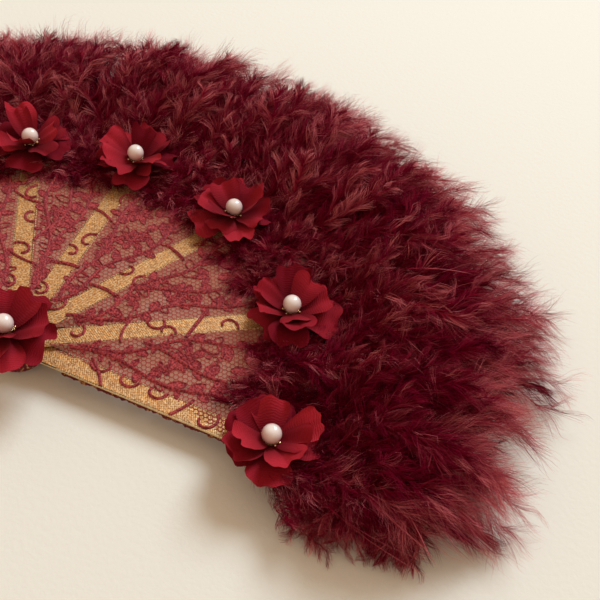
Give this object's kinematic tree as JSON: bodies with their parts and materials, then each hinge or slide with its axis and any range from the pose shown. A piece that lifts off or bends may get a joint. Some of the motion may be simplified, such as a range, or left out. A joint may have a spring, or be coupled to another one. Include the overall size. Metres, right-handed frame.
{
  "type": "feather fan",
  "caption": "Folding hand fan with gilt sticks on one rivet, a lace leaf, downy feather plumes round the edge, and fabric flowers with pearl centres.",
  "frame": {"origin": "on the rivet's axis, at the flat face of the covered button that the fan lies on", "axes": "+Z along the rivet, up through the sticks to the hub flower; +X along the lowest stick, the fan opening anticlockwise from +X to -X, so +Y points out through the middle of the leaf"},
  "size_m": [0.4281, 0.2573, 0.0362],
  "materials": {
    "gilt": "gilt lacquer on a flat wooden stick, satin and slightly hammered",
    "backing": "dark burgundy brocade strip",
    "lace": "raspberry-red corded floral lace on hexagonal net",
    "feather": "dyed burgundy marabou down",
    "petal": "deep red satin-backed chiffon, heat-cut edges",
    "pearl": "imitation pearl, glossy with a soft lustre",
    "rivet": "nickel-plated"
  },
  "bodies": {
    "rib_1": {"stick_1": "gilt", "backing_1": "backing", "plume_1": "feather", "petals_low_1": "petal", "petals_top_1": "petal", "pearl_1": "pearl", "lace_1": "lace", "back_button": "backing", "pivot_rivet": "rivet", "front_washer": "rivet", "rivet_cap": "rivet", "petals_low_hub": "petal", "petals_top_hub": "petal", "pearl_hub": "pearl"},
    "rib_2": {"stick_2": "gilt", "backing_2": "backing", "plume_2": "feather", "petals_low_2": "petal", "petals_top_2": "petal", "pearl_2": "pearl", "lace_2": "lace"},
    "rib_3": {"stick_3": "gilt", "backing_3": "backing", "plume_3": "feather", "petals_low_3": "petal", "petals_top_3": "petal", "pearl_3": "pearl", "lace_3": "lace"},
    "rib_4": {"stick_4": "gilt", "backing_4": "backing", "plume_4": "feather", "petals_low_4": "petal", "petals_top_4": "petal", "pearl_4": "pearl", "lace_4": "lace"},
    "rib_5": {"stick_5": "gilt", "backing_5": "backing", "plume_5": "feather", "petals_low_5": "petal", "petals_top_5": "petal", "pearl_5": "pearl", "lace_5": "lace"},
    "rib_6": {"stick_6": "gilt", "backing_6": "backing", "plume_6": "feather", "petals_low_6": "petal", "petals_top_6": "petal", "pearl_6": "pearl", "lace_6": "lace"},
    "rib_7": {"stick_7": "gilt", "backing_7": "backing", "plume_7": "feather", "petals_low_7": "petal", "petals_top_7": "petal", "pearl_7": "pearl"}
  },
  "joints": [
    {"name": "fold_1", "type": "hinge", "parent": "rib_1", "child": "rib_2", "pos_m": [0, 0, 0], "axis": [0, 0, 1], "range_deg": [-22.5, 0], "deforming": ["lace_1", "plume_2", "petals_low_2", "petals_top_2", "plume_1", "petals_low_1", "petals_top_1"]},
    {"name": "fold_2", "type": "hinge", "parent": "rib_2", "child": "rib_3", "pos_m": [0, 0, 0], "axis": [0, 0, 1], "range_deg": [-21.5, 0], "deforming": ["lace_2", "plume_3", "petals_low_3", "petals_top_3"]},
    {"name": "fold_3", "type": "hinge", "parent": "rib_3", "child": "rib_4", "pos_m": [0, 0, 0], "axis": [0, 0, 1], "range_deg": [-19.5, 0], "deforming": ["lace_3", "plume_4", "petals_low_4", "petals_top_4"]},
    {"name": "fold_4", "type": "hinge", "parent": "rib_4", "child": "rib_5", "pos_m": [0, 0, 0], "axis": [0, 0, 1], "range_deg": [-15.5, 0], "deforming": ["lace_4", "plume_5", "petals_low_5", "petals_top_5"]},
    {"name": "fold_5", "type": "hinge", "parent": "rib_5", "child": "rib_6", "pos_m": [0, 0, 0], "axis": [0, 0, 1], "range_deg": [-19, 0], "deforming": ["lace_5", "plume_6", "petals_low_6", "petals_top_6"]},
    {"name": "fold_6", "type": "hinge", "parent": "rib_6", "child": "rib_7", "pos_m": [0, 0, 0], "axis": [0, 0, 1], "range_deg": [-19, 0], "deforming": ["lace_6", "plume_7", "petals_low_7", "petals_top_7"]}
  ],
  "couplings": [
    {"joint": "fold_2", "follows": "fold_1", "ratio": 0.95556},
    {"joint": "fold_3", "follows": "fold_1", "ratio": 0.86667},
    {"joint": "fold_4", "follows": "fold_1", "ratio": 0.68889},
    {"joint": "fold_5", "follows": "fold_1", "ratio": 0.84444},
    {"joint": "fold_6", "follows": "fold_1", "ratio": 0.84444}
  ]
}
